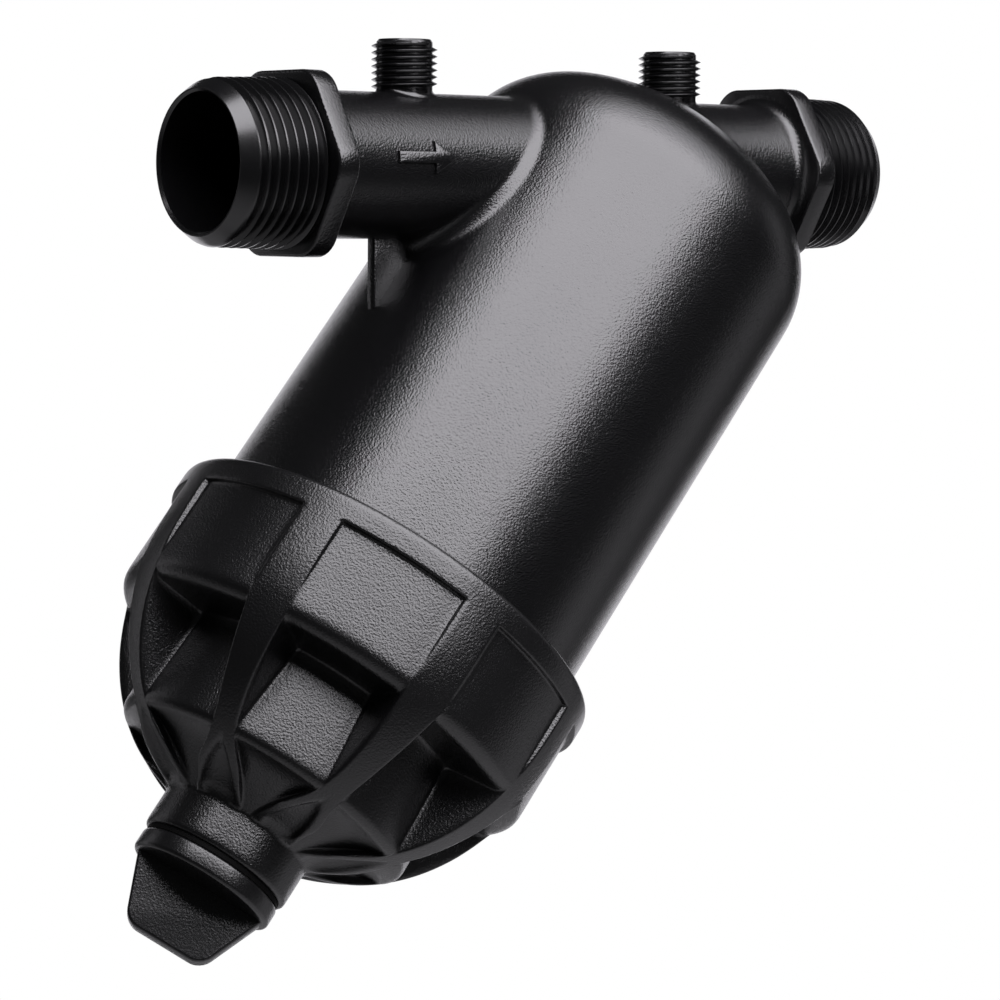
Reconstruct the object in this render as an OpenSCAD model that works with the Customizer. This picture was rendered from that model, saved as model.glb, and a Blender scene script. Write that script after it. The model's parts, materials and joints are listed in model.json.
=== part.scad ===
// Inclined-body irrigation disc filter with one inch male pipe ends.
// The pipe run lies along X with its inlet face at the origin, and Z is up.
// The filter body hangs below the pipe on its own axis, which slopes back under the inlet.
// Levels of the body are measured along that axis from where it crosses the pipe axis.

/* [Pipe run] */
// Length of the pipe run from open face to open face
pipe_length = 170; // [164:1:190]
// Outside diameter of the pipe stubs
pipe_od = 29; // [28:0.5:31]
// Bore of the pipe stubs
pipe_bore = 24; // [21:0.5:25]
// Thickness of the stiffening web under the inlet stub
web_thickness = 2.4; // [1.5:0.1:4]
// Distance from the inlet face to the web's front edge
web_front = 41.3; // [38:0.1:46]

/* [Pipe ends] */
// Outside diameter of the one inch pipe thread
end_thread_od = 33.4; // [32:0.1:35]
// Length of the threaded end, from its open face to the hexagon
end_thread_length = 19; // [16:0.5:22]
// Outside diameter of the rim at the open face
end_rim_od = 28.4; // [28:0.1:30]
// Length of the cone that leads into the thread
end_lead = 4.2; // [2:0.1:6]
// Bore at the open face, which narrows inwards to the pipe bore
mouth_bore = 26.8; // [25.5:0.1:27.2]
// Length over which the mouth narrows
mouth_length = 26; // [18:1:32]
// Hexagon size across its flats
hex_flats = 36; // [35:0.5:38]
// Hexagon size across its trimmed corners
hex_corners = 40; // [38.5:0.5:41]
// Thickness of the hexagon
hex_thickness = 5; // [4:0.5:7]
// Radius of the fillet between the hexagon and the pipe
hex_fillet = 2.4; // [1:0.1:3]

/* [Gauge nozzles] */
// Distance between the two nozzles, which sit evenly about the middle of the pipe
nozzle_spacing = 71; // [66:1:74]
// Outside diameter of the quarter inch gauge thread
nozzle_od = 13.16; // [12.5:0.01:14]
// Height of the nozzle's top above the pipe axis
nozzle_top = 25; // [23:0.5:28]
// Chamfer at the nozzle's top
nozzle_chamfer = 0.8; // [0.4:0.1:1.2]
// Diameter of the nozzle's blind hole
nozzle_bore = 4.4; // [3:0.1:6]
// Thickness of the closed floor under the blind hole
nozzle_floor = 1.6; // [1:0.1:2.4]
// Radius of the fillet round the nozzle's foot
nozzle_fillet = 1.4; // [0.8:0.1:2]

/* [Body] */
// Outside diameter of the filter body
body_od = 81; // [79:0.5:83]
// Wall thickness of the body
body_wall = 3.5; // [3:0.1:4]
// Angle between the pipe axis and the body axis
body_angle = 50; // [48:1:53]
// Distance from the middle of the pipe run to where the body axis crosses it
body_offset = 33; // [29:1:36]
// Level of the body's open mouth
body_mouth = 134; // [132:0.5:142]
// Level where the straight wall turns into the shoulder of the closed end
shoulder_level = 17.5; // [16:0.5:20]
// Radius of the shoulder
shoulder_radius = 21; // [17:0.5:24]
// Radius of the crown that closes the end
crown_radius = 55; // [48:1:75]
// Thickness of the partition that holds the cartridge
seat_thickness = 3; // [2.5:0.1:3.4]
// Clear height between the inlet port and the partition
seat_margin = 1.4; // [1:0.1:2]
// Bore of the socket in the partition
socket_bore = 42.2; // [40:0.1:43]
// Depth of the socket below the partition
socket_depth = 7; // [6.5:0.5:9]
// Wall of the socket
socket_wall = 2.9; // [2:0.1:4]
// How far the thread for the cover stands out from the body
cover_thread_height = 1.8; // [1.5:0.1:2.4]
// Length of the thread for the cover
cover_thread_length = 15; // [12:0.5:16]

/* [Cover] */
// Wall thickness of the cover's collar outside the thread
collar_wall = 4.4; // [4:0.1:5.6]
// How far the cover reaches up over the body from its mouth
cover_overlap = 21; // [20:0.5:23]
// Height of the plain collar above the panels
collar_height = 5.4; // [4.5:0.1:7]
// Rounding of the collar's upper edge
collar_round = 1.4; // [0.5:0.1:2]
// How far the panels lie back from the ribs and the collar
panel_recess = 1.2; // [0.8:0.1:1.6]
// Rounding of the panels' lower edge
panel_round = 3; // [2:0.1:3.2]
// Thickness of the ledge that carries the seal
ledge_thickness = 3.2; // [2.8:0.1:4]
// Outside diameter of the cup below the ledge
cup_od = 68; // [66:0.5:70]
// Wall thickness of the cup
cup_wall = 3; // [2.5:0.1:3.5]
// Rounding of the cup's lower edge
cup_round = 6; // [4:0.5:7]
// Depth from the ledge to the floor inside the cup
cup_depth = 20.2; // [18:0.1:22]
// Thickness of the cup's floor
floor_thickness = 4; // [3:0.1:5]
// Depth from the ledge to the top of the drain neck
neck_depth = 32.2; // [31:0.1:35]
// Outside diameter of the drain neck
neck_od = 31.4; // [30.8:0.1:33]
// Length of the drain neck
neck_length = 8.4; // [8:0.1:11]
// Radius of the ribs' bulging lower edge
bulge_radius = 45; // [42:0.5:52]
// Number of ribs
rib_count = 8; // [6:1:9]
// Turn of the first rib from the top of the body
rib_turn = 12.9; // [0:0.1:45]
// Width of a rib at the collar
rib_width = 8.9; // [7:0.1:10]
// Width of a rib at its waist
rib_waist = 5.6; // [5:0.1:7]
// Width of a rib at its foot on the neck
rib_foot = 10; // [8.5:0.1:11]
// Distance from the neck up to the waist
waist_height = 17; // [14:0.5:20]
// Height of the pointed pocket in a rib's foot
pocket_height = 12; // [9:0.5:13]
// Width of the pointed pocket at the neck
pocket_width = 6.4; // [5:0.1:7]
// Depth of the pointed pocket below the chord of the bulge
pocket_depth = 0.8; // [0.4:0.1:1.6]
// Thickness of the cover's seal
cover_seal_thickness = 2.8; // [2:0.1:3.5]

/* [Drain plug] */
// Outside diameter of the three quarter inch drain thread
drain_thread_od = 25.9; // [24.5:0.1:26.4]
// Length of the plug's threaded shank
shank_length = 11; // [9:0.5:13]
// Wall thickness of the hollow shank
shank_wall = 2.8; // [2:0.1:4]
// Diameter of the plug's flange
flange_od = 30.2; // [29.4:0.1:32]
// Thickness of the plug's flange
flange_thickness = 4.1; // [3:0.1:5]
// Chamfer on the flange's edges
flange_chamfer = 0.8; // [0.3:0.1:1.2]
// Thickness of the plug's seal
drain_seal_thickness = 1; // [0.8:0.1:1.6]
// Width of the wing where it meets the flange
wing_root = 28.6; // [26:0.1:29]
// Width of the wing at its end
wing_end = 17; // [14:0.5:20]
// Length of the wing
wing_length = 13.2; // [10:0.1:16]
// Thickness of the wing
wing_thickness = 4.4; // [3:0.1:6]
// Rounding of the wing's corners
wing_round = 2.4; // [1:0.1:3]
// Turn of the wing about the body axis
wing_turn = 40.4; // [0:0.1:90]

/* [Cartridge] */
// Outside diameter of a filter disc
disc_od = 59; // [56:0.5:60]
// Bore of a filter disc
disc_bore = 38.2; // [36:0.1:38.6]
// Thickness of a filter disc
disc_thickness = 2.4; // [2.3:0.02:2.44]
// Number of filter discs
disc_count = 44; // [40:1:45]
// Chamfer on the edges of a disc
disc_chamfer = 0.5; // [0.2:0.1:0.8]
// Wall thickness of the slotted core
core_wall = 2.8; // [2.2:0.1:3.4]
// Thickness of the core's head flange
head_thickness = 4; // [3:0.1:4.5]
// Number of slots round the core
slot_count = 6; // [4:1:7]
// Width of a slot
slot_width = 9; // [5:0.5:10]
// Plain length left at each end of a slot
slot_margin = 4; // [2:0.5:8]
// Thickness of the pressure plate below the discs
plate_thickness = 4.4; // [3:0.1:5]
// Outside diameter of the clamping knob
knob_od = 48; // [46:0.5:52]
// Depth of the knob's threaded bore
knob_bore_depth = 9; // [7:0.5:10]
// Thickness of the wall that closes the knob's bore
knob_web = 3.5; // [2.5:0.1:4.5]
// Number of finger flutes round the knob
flute_count = 10; // [6:1:12]
// Diameter of a finger flute
flute_d = 9; // [7:0.5:10]
// Depth of a finger flute
flute_depth = 1.6; // [0.8:0.1:2]
// Width of the seat seal's groove
groove_width = 2.8; // [2.2:0.1:3.2]
// Depth of the seat seal's groove
groove_depth = 1.9; // [1.4:0.1:2.2]

/* [Fits] */
// Clearance between threads and between pieces that slide into each other
clearance = 0.3; // [0.2:0.05:0.4]
// Clearance round a seal in its groove
seal_gap = 0.05; // [0.02:0.01:0.1]

/* [Hidden] */
$fn = 96;
joined = 1;
pipe_r = pipe_od / 2;
bore_r = pipe_bore / 2;
cross_x = pipe_length / 2 + body_offset;
body_r = body_od / 2;
chamber_r = body_r - body_wall;

// Inlet port: where its bore breaks into the chamber, and the level of the port's upper edge
port_reach = (chamber_r - bore_r * cos(body_angle)) / sin(body_angle);
port_level = port_reach * cos(body_angle) - bore_r * sin(body_angle);
seat_level = port_level - seat_margin;
seat_top = seat_level - seat_thickness;
socket_end = seat_level + socket_depth;

// Levels of the cover and the plug
rim_level = body_mouth - cover_overlap;
ledge_level = body_mouth + cover_seal_thickness;
ledge_under = ledge_level + ledge_thickness;
floor_level = ledge_level + cup_depth;
floor_under = floor_level + floor_thickness;
neck_level = ledge_level + neck_depth;
neck_end = neck_level + neck_length;
flange_level = neck_end + drain_seal_thickness;
wing_level = flange_level + flange_thickness;

cover_thread_r = body_r + cover_thread_height;
cover_bore_r = cover_thread_r + clearance;
cover_r = cover_bore_r + collar_wall;
panel_r = cover_r - panel_recess;
cup_r = cup_od / 2;
cup_bore_r = cup_r - cup_wall;
neck_r = neck_od / 2;
shank_r = drain_thread_od / 2;
drain_r = shank_r + clearance;
bulge_level = neck_level - sqrt(pow(bulge_radius, 2) - pow(neck_r - cover_r + bulge_radius, 2));
waist_level = neck_level - waist_height;

// Levels and radii of the cartridge
disc_r = disc_od / 2;
disc_bore_r = disc_bore / 2;
core_r = disc_bore_r - clearance;
core_bore_r = core_r - core_wall;
spigot_r = socket_bore / 2 - clearance;
disc_level = socket_end + head_thickness;
plate_level = disc_level + disc_count * disc_thickness;
knob_level = plate_level + plate_thickness;
knob_end = floor_level - clearance;
knob_r = knob_od / 2;
core_end = knob_level + knob_bore_depth - clearance;
groove_level = (seat_top + socket_end - groove_width) / 2;

plastic_black = [0.11, 0.11, 0.12];
plug_black = [0.14, 0.14, 0.15];
rubber_black = [0.05, 0.05, 0.05];
core_grey = [0.28, 0.28, 0.30];
disc_red = [0.55, 0.10, 0.08];

function disc_name(i) = str("filter_disc_", i);

// Places children on the body axis, with Z running from the crossing towards the cover
module on_body_axis(level = 0) {
    translate([cross_x, 0, 0])
        rotate([0, 270 - body_angle, 0])
            translate([0, 0, level])
                children();
}

// Places children at both open faces of the pipe, with Z running inwards
module at_pipe_ends() {
    rotate([0, 90, 0])
        children();
    translate([pipe_length, 0, 0])
        rotate([0, -90, 0])
            children();
}

// Concave ring that fills the corner between a shaft and the face at level 0
module fillet_ring(radius, fillet) {
    rotate_extrude()
        difference() {
            translate([radius - joined, -joined])
                square([fillet + joined, fillet + joined]);
            translate([radius + fillet, fillet])
                circle(r = fillet);
        }
}

// Half section of a cylinder closed by a rounded shoulder and a flatter crown
module domed_section(radius, shoulder, crown, level, finish) {
    lean = asin((radius - shoulder) / (crown - shoulder));
    centre = level + (crown - shoulder) * cos(lean);
    intersection() {
        translate([0, centre - crown])
            square([radius, finish - centre + crown]);
        union() {
            translate([0, level])
                square([radius, finish - level]);
            translate([radius - shoulder, level])
                circle(r = shoulder);
            intersection() {
                translate([0, centre])
                    circle(r = crown);
                polygon([
                    [0, centre],
                    [2 * crown * sin(lean), centre - 2 * crown * cos(lean)],
                    [0, centre - 2 * crown]
                ]);
            }
        }
    }
}

// Outside of one pipe end: the thread's blank with its lead cone, then the hexagon
module pipe_end() {
    rotate_extrude()
        polygon([
            [0, 0],
            [end_rim_od / 2, 0],
            [end_thread_od / 2, end_lead],
            [end_thread_od / 2, end_thread_length],
            [0, end_thread_length]
        ]);
    translate([0, 0, end_thread_length]) {
        intersection() {
            rotate(30)
                cylinder(d = hex_flats / cos(30), h = hex_thickness, $fn = 6);
            cylinder(d = hex_corners, h = hex_thickness);
        }
        translate([0, 0, hex_thickness])
            fillet_ring(pipe_r, hex_fillet);
    }
}

// Narrowing mouth of one pipe end
module pipe_mouth() {
    translate([0, 0, -joined])
        cylinder(r = mouth_bore / 2, h = joined);
    cylinder(r1 = mouth_bore / 2, r2 = bore_r, h = mouth_length);
}

module at_nozzles() {
    for (side = [-1, 1])
        translate([pipe_length / 2 + side * nozzle_spacing / 2, 0, 0])
            children();
}

module nozzle() {
    foot_r = nozzle_od / 2 + nozzle_fillet;
    rotate_extrude()
        difference() {
            polygon([
                [0, bore_r - joined],
                [foot_r, bore_r - joined],
                [foot_r, pipe_r + nozzle_fillet],
                [nozzle_od / 2, pipe_r + nozzle_fillet],
                [nozzle_od / 2, nozzle_top - nozzle_chamfer],
                [nozzle_od / 2 - nozzle_chamfer, nozzle_top],
                [0, nozzle_top]
            ]);
            translate([foot_r, pipe_r + nozzle_fillet])
                circle(r = nozzle_fillet);
        }
}

module nozzle_hole() {
    translate([0, 0, bore_r + nozzle_floor])
        cylinder(d = nozzle_bore, h = nozzle_top);
}

// Upright web in the corner between the inlet stub and the body
module stiffening_web() {
    rho = body_r - joined;
    top = joined - pipe_r;
    front_level = (cross_x - web_front - rho * sin(body_angle)) / cos(body_angle);
    back_level = (rho * cos(body_angle) - top) / sin(body_angle);
    rotate([90, 0, 0])
        linear_extrude(web_thickness, center = true)
            polygon([
                [web_front, top],
                [web_front, rho * cos(body_angle) - front_level * sin(body_angle)],
                [cross_x - back_level * cos(body_angle) - rho * sin(body_angle), top]
            ]);
}

module housing_outside() {
    on_body_axis() {
        rotate_extrude()
            domed_section(body_r, shoulder_radius, crown_radius, shoulder_level, body_mouth);
        translate([0, 0, body_mouth - joined - cover_thread_length])
            cylinder(r = cover_thread_r, h = cover_thread_length);
    }
    translate([end_thread_length, 0, 0])
        rotate([0, 90, 0])
            cylinder(r = pipe_r, h = cross_x - port_reach - end_thread_length);
    translate([cross_x - pipe_r, 0, 0])
        rotate([0, 90, 0])
            cylinder(r = pipe_r, h = pipe_length - end_thread_length - cross_x + pipe_r);
    at_pipe_ends()
        pipe_end();
    at_nozzles()
        nozzle();
    stiffening_web();
}

// Space inside the body, ports and blind holes
module housing_hollows() {
    on_body_axis()
        rotate_extrude()
            domed_section(
                chamber_r,
                shoulder_radius - body_wall,
                crown_radius - body_wall,
                shoulder_level,
                body_mouth + joined
            );
    rotate([0, 90, 0])
        cylinder(r = bore_r, h = cross_x - port_reach + joined);
    translate([cross_x, 0, 0])
        rotate([0, 90, 0])
            cylinder(r = bore_r, h = pipe_length - cross_x + joined);
    at_pipe_ends()
        pipe_mouth();
    at_nozzles()
        nozzle_hole();
}

// Partition with the socket that the cartridge plugs into
module cartridge_seat() {
    on_body_axis(seat_top)
        difference() {
            union() {
                cylinder(r = chamber_r + joined / 2, h = seat_thickness);
                cylinder(d = socket_bore + 2 * socket_wall, h = seat_thickness + socket_depth);
            }
            translate([0, 0, -joined])
                cylinder(d = socket_bore, h = seat_thickness + socket_depth + 2 * joined);
        }
}

module housing() {
    color(plastic_black) {
        difference() {
            housing_outside();
            housing_hollows();
        }
        cartridge_seat();
    }
}

// Half section of the surface that the collar and the ribs' outer edges share
module bulge_section() {
    translate([0, rim_level])
        square([cover_r - collar_round, collar_round]);
    translate([cover_r - collar_round, rim_level + collar_round])
        circle(r = collar_round);
    translate([0, rim_level + collar_round])
        square([cover_r, bulge_level - rim_level - collar_round]);
    intersection() {
        translate([cover_r - bulge_radius, bulge_level])
            circle(r = bulge_radius);
        translate([0, bulge_level])
            square([cover_r, bulge_radius]);
    }
}

// Half section of the panels, the cup and the neck between the ribs, still solid
module cover_section() {
    translate([0, rim_level + collar_round])
        square([panel_r, ledge_under - panel_round - rim_level - collar_round]);
    translate([0, ledge_under - panel_round])
        square([panel_r - panel_round, panel_round]);
    translate([panel_r - panel_round, ledge_under - panel_round])
        circle(r = panel_round);
    translate([0, ledge_under])
        square([cup_r, floor_under - cup_round - ledge_under]);
    translate([cup_r - cup_round, floor_under - cup_round])
        circle(r = cup_round);
    polygon([
        [0, floor_under - cup_round],
        [cup_r - cup_round, floor_under - cup_round],
        [cup_r - cup_round, floor_under],
        [neck_r - joined, neck_level],
        [0, neck_level]
    ]);
    translate([0, floor_under])
        square([neck_r, neck_end - floor_under]);
}

// Half section of the space inside the cover
module cover_hollow() {
    translate([0, rim_level - joined])
        square([cover_bore_r, ledge_level - rim_level + joined]);
    translate([0, ledge_level])
        square([cup_bore_r, cup_depth]);
    polygon([
        [0, floor_level],
        [knob_r - joined, floor_level],
        [drain_r, neck_level - joined],
        [drain_r, neck_end + joined],
        [0, neck_end + joined]
    ]);
}

// Front view of a rib: straight below the collar, narrow at its waist and spread at its foot
module rib_outline() {
    side_step = (rib_foot - rib_waist) / 2;
    side_radius = (pow(side_step, 2) + pow(waist_height, 2)) / (2 * side_step);
    difference() {
        union() {
            translate([-rib_width / 2, rim_level + collar_round])
                square([rib_width, waist_level - rim_level - collar_round]);
            translate([-rib_foot / 2, waist_level])
                square([rib_foot, waist_height + joined]);
        }
        for (side = [-1, 1])
            translate([side * (rib_waist / 2 + side_radius), waist_level])
                circle(r = side_radius);
    }
}

// Pointed pocket sunk into a rib's foot, on the chord of the bulge from the neck upwards
module rib_pocket() {
    half = pocket_width / 2;
    top_level = neck_level - pocket_height;
    top_r = cover_r - bulge_radius + sqrt(pow(bulge_radius, 2) - pow(top_level - bulge_level, 2));
    chord = norm([top_r - neck_r, pocket_height]);
    lean = atan2(top_r - neck_r, pocket_height);
    arch_radius = (pow(chord, 2) + pow(half, 2)) / pocket_width;
    translate([neck_r, 0, neck_level])
        rotate([0, -lean, 0])
            translate([-pocket_depth, 0, 0])
                rotate([90, 0, 90])
                    linear_extrude(cup_r)
                        intersection() {
                            translate([arch_radius - half, 0])
                                circle(r = arch_radius);
                            translate([half - arch_radius, 0])
                                circle(r = arch_radius);
                            translate([-half, -joined])
                                square([pocket_width, chord + joined]);
                        }
}

// Repeats children round the body axis, one for each rib
module at_ribs() {
    for (i = [0 : rib_count - 1])
        rotate(rib_turn + i * 360 / rib_count)
            children();
}

// Collar and ribs, which keep only the bulge between the drain's bore and the outside
module collar_and_ribs() {
    difference() {
        intersection() {
            rotate_extrude()
                bulge_section();
            union() {
                translate([0, 0, rim_level - joined])
                    cylinder(r = cover_r + joined, h = collar_height + joined);
                at_ribs()
                    translate([drain_r, 0, 0])
                        rotate([90, 0, 90])
                            linear_extrude(cover_r)
                                rib_outline();
            }
        }
        at_ribs()
            rib_pocket();
    }
}

module cover() {
    color(plastic_black)
        on_body_axis()
            difference() {
                union() {
                    rotate_extrude()
                        cover_section();
                    collar_and_ribs();
                }
                rotate_extrude()
                    cover_hollow();
            }
}

// Flat ring between two radii
module flat_ring(inner, outer, thickness) {
    rotate_extrude()
        translate([inner, 0])
            square([outer - inner, thickness]);
}

module cover_seal() {
    color(rubber_black)
        on_body_axis(body_mouth)
            flat_ring(chamber_r + clearance, cover_bore_r - clearance, cover_seal_thickness - seal_gap);
}

module drain_seal() {
    color(rubber_black)
        on_body_axis(neck_end)
            flat_ring(drain_r, flange_od / 2 - clearance, drain_seal_thickness);
}

// Rounded trapezium of the plug's wing, from the flange outwards
module wing_outline() {
    intersection() {
        offset(r = wing_round, $fn = 32)
            offset(delta = -wing_round)
                polygon([
                    [-wing_root / 2, -wing_length],
                    [wing_root / 2, -wing_length],
                    [wing_root / 2, 0],
                    [wing_end / 2, wing_length],
                    [-wing_end / 2, wing_length],
                    [-wing_root / 2, 0]
                ]);
        translate([-wing_root / 2, -flange_chamfer])
            square([wing_root, wing_length + flange_chamfer]);
    }
}

module drain_plug() {
    color(plug_black)
        on_body_axis(flange_level) {
            rotate_extrude()
                difference() {
                    polygon([
                        [0, -shank_length],
                        [shank_r, -shank_length],
                        [shank_r, 0],
                        [flange_od / 2 - flange_chamfer, 0],
                        [flange_od / 2, flange_chamfer],
                        [flange_od / 2, flange_thickness - flange_chamfer],
                        [flange_od / 2 - flange_chamfer, flange_thickness],
                        [0, flange_thickness]
                    ]);
                    translate([0, -shank_length])
                        square([shank_r - shank_wall, shank_length]);
                }
            translate([0, 0, flange_thickness])
                rotate(wing_turn)
                    rotate([90, 0, 0])
                        linear_extrude(wing_thickness, center = true)
                            wing_outline();
        }
}

// Half section of the core: spigot, head flange, tube for the discs and closed end
module core_section() {
    difference() {
        union() {
            translate([core_bore_r, seat_top])
                square([spigot_r - core_bore_r, socket_end - seat_top]);
            translate([core_bore_r, socket_end])
                square([disc_r - core_bore_r, head_thickness]);
            translate([core_bore_r, disc_level])
                square([core_wall, core_end - disc_level]);
            translate([0, core_end - core_wall])
                square([core_r, core_wall]);
        }
        translate([spigot_r - groove_depth, groove_level])
            square([groove_depth + joined, groove_width]);
    }
}

module cartridge_core() {
    slot_length = plate_level - disc_level - 2 * slot_margin;
    color(core_grey)
        on_body_axis()
            difference() {
                rotate_extrude()
                    core_section();
                for (i = [0 : slot_count - 1])
                    rotate(i * 360 / slot_count)
                        translate([0, -slot_width / 2, disc_level + slot_margin])
                            cube([disc_r, slot_width, slot_length]);
            }
}

module seat_seal() {
    color(rubber_black)
        on_body_axis(groove_level + seal_gap)
            flat_ring(
                spigot_r - groove_depth + seal_gap,
                socket_bore / 2 - seal_gap,
                groove_width - 2 * seal_gap
            );
}

module filter_disc(i) {
    color(disc_red)
        on_body_axis(disc_level + (i - 1) * disc_thickness)
            rotate_extrude()
                polygon([
                    [disc_bore_r, disc_chamfer],
                    [disc_bore_r + disc_chamfer, 0],
                    [disc_r - disc_chamfer, 0],
                    [disc_r, disc_chamfer],
                    [disc_r, disc_thickness - disc_chamfer],
                    [disc_r - disc_chamfer, disc_thickness],
                    [disc_bore_r + disc_chamfer, disc_thickness],
                    [disc_bore_r, disc_thickness - disc_chamfer]
                ]);
}

module pressure_plate() {
    color(core_grey)
        on_body_axis(plate_level)
            flat_ring(disc_bore_r, disc_r, plate_thickness);
}

module clamp_knob() {
    knob_height = knob_end - knob_level;
    color(core_grey)
        on_body_axis(knob_level)
            difference() {
                cylinder(r = knob_r, h = knob_height);
                translate([0, 0, -joined])
                    cylinder(r = disc_bore_r, h = knob_bore_depth + joined);
                translate([0, 0, knob_bore_depth + knob_web])
                    cylinder(r = disc_bore_r, h = knob_height);
                for (i = [0 : flute_count - 1])
                    rotate(i * 360 / flute_count)
                        translate([knob_r + flute_d / 2 - flute_depth, 0, -joined])
                            cylinder(d = flute_d, h = knob_height + 2 * joined);
            }
}

housing();
cover();
cover_seal();
drain_plug();
drain_seal();
cartridge_core();
seat_seal();
pressure_plate();
clamp_knob();
for (i = [1 : disc_count])
    filter_disc(i);
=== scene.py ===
# %% [markdown]
# # An irrigation disc filter
# Water enters at the left end of the pipe, passes between the discs in the sloping body and leaves
# at the right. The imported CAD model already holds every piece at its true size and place, so it is
# loaded first, as a fixed frame. The mouldings that the eye meets are then modelled again with
# rounded edges, fillets and cut threads. The pieces inside keep their CAD shape and only get a
# finish.

# %% Load the frame
import json
import math

import bpy
import numpy as np
from mathutils import Matrix, Vector


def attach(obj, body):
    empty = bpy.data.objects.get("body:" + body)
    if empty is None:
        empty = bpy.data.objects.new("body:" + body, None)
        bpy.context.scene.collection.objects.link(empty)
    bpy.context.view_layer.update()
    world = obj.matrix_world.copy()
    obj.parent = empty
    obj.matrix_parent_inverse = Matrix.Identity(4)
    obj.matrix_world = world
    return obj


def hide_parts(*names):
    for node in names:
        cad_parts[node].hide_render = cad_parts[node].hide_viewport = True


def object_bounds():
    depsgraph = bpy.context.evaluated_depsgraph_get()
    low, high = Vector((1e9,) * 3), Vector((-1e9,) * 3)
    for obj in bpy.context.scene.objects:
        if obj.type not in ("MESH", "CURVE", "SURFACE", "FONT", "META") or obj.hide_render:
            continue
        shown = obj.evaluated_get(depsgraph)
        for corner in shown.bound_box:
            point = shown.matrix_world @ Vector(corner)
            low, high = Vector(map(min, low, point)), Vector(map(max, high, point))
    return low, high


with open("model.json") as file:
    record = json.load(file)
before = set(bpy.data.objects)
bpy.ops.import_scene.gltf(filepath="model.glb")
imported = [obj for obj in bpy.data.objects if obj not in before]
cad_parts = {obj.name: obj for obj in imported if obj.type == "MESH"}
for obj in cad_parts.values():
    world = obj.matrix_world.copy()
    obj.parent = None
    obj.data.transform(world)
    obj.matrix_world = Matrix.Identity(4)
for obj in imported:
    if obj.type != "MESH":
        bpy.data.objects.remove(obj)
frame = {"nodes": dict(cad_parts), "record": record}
cad_box = [list(corner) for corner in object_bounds()]
bpy.ops.object.select_all(action="DESELECT")
MM = 0.001


def in_mm(box):
    """A box in millimetres, rounded for printing."""
    return [[round(v / MM, 1) for v in corner] for corner in box]


print("CAD nodes:", len(frame["nodes"]), "box in mm:", in_mm(cad_box))

# %% [markdown]
# ## Two axes
# The pipe run lies along X with its inlet face at the origin. The body hangs on an axis of its own,
# which leaves the pipe at 50 degrees. Pieces of the body are modelled upright on Z, where a lathe
# is easy to think about, and one matrix then lays them on the sloping axis. Z becomes the way from
# the pipe towards the drain, so a height on that axis is called a level below.

# %% The body's axis
PIPE_LENGTH = 170
CROSS_X = 118
BODY_ANGLE = 50
tilt = Matrix.Rotation(math.radians(270 - BODY_ANGLE), 4, "Y")
on_body_axis = Matrix.Translation((CROSS_X * MM, 0, 0)) @ tilt
body_down = np.array(on_body_axis.to_3x3().col[2])
print("the body's axis points along", np.round(body_down, 3))

# %% [markdown]
# ## Helpers: choosing and editing
# Blender's edit operators work on what is selected, so each step first chooses one piece alone.
# Edges are picked by their place and not by their number, which would change with every edit
# before. A mesh is cleaned when it is left: points that meet are merged and the faces turned
# outwards, because booleans need one closed skin.

# %% Choosing and editing
MERGE = 1e-6


def choose(piece):
    """Selects one piece alone and makes it active."""
    bpy.ops.object.select_all(action="DESELECT")
    bpy.context.view_layer.objects.active = piece
    piece.select_set(True)


def edit(piece):
    """Chooses a piece and opens all of its mesh for editing."""
    choose(piece)
    bpy.ops.object.mode_set(mode="EDIT")
    bpy.ops.mesh.select_all(action="SELECT")


def tidy_mesh():
    """Merges points that meet, drops loose ones, turns the faces outwards and leaves edit mode."""
    bpy.ops.mesh.select_all(action="SELECT")
    bpy.ops.mesh.remove_doubles(threshold=MERGE)
    bpy.ops.mesh.delete_loose()
    bpy.ops.mesh.select_all(action="SELECT")
    bpy.ops.mesh.normals_make_consistent(inside=False)
    bpy.ops.object.mode_set(mode="OBJECT")


def pick_edges(piece, wanted):
    """Opens a piece with only the edges picked for which wanted(end, end) holds, in millimetres."""
    edit(piece)
    bpy.ops.mesh.select_mode(type="EDGE")
    bpy.ops.mesh.select_all(action="DESELECT")
    bpy.ops.object.mode_set(mode="OBJECT")
    for edge in piece.data.edges:
        edge.select = wanted(*(piece.data.vertices[v].co / MM for v in edge.vertices))
    bpy.ops.object.mode_set(mode="EDIT")


def leave_edit():
    """Goes back to picking points and leaves edit mode."""
    bpy.ops.mesh.select_mode(type="VERT")
    bpy.ops.object.mode_set(mode="OBJECT")


print("choosing and editing helpers are ready")

# %% [markdown]
# ## Helpers: outline, lathe and grid
# Most mouldings start as the outline of a section. A circle primitive gives a ring of points, each
# point is moved to its place in the outline, and Spin turns the outline about Z. No lathe can turn
# ribs or a corner that winds round a slanting pipe. For those a grid primitive is wrapped into
# shape, each point to a place of its own.

# %% Outline, lathe and grid
def outline(name, points):
    """A closed ring of (radius, height) points in millimetres, standing in the XZ plane."""
    bpy.ops.mesh.primitive_circle_add(vertices=len(points))
    ring = bpy.context.object
    ring.name = name
    for vertex, (radius, height) in zip(ring.data.vertices, points):
        vertex.co = (radius * MM, 0, height * MM)
    return ring


def arc(centre, radius, start, finish, steps):
    """Points of an arc in the section, with angles in degrees from radius towards height."""
    angles = np.radians(np.linspace(start, finish, steps + 1))
    return [(centre[0] + radius * math.cos(a), centre[1] + radius * math.sin(a)) for a in angles]


def lathe(name, points, steps=128):
    """Turns an outline about Z into a closed solid."""
    piece = outline(name, points)
    edit(piece)
    bpy.ops.mesh.spin(steps=steps, angle=2 * math.pi, center=(0, 0, 0), axis=(0, 0, 1))
    tidy_mesh()
    return piece


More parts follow.
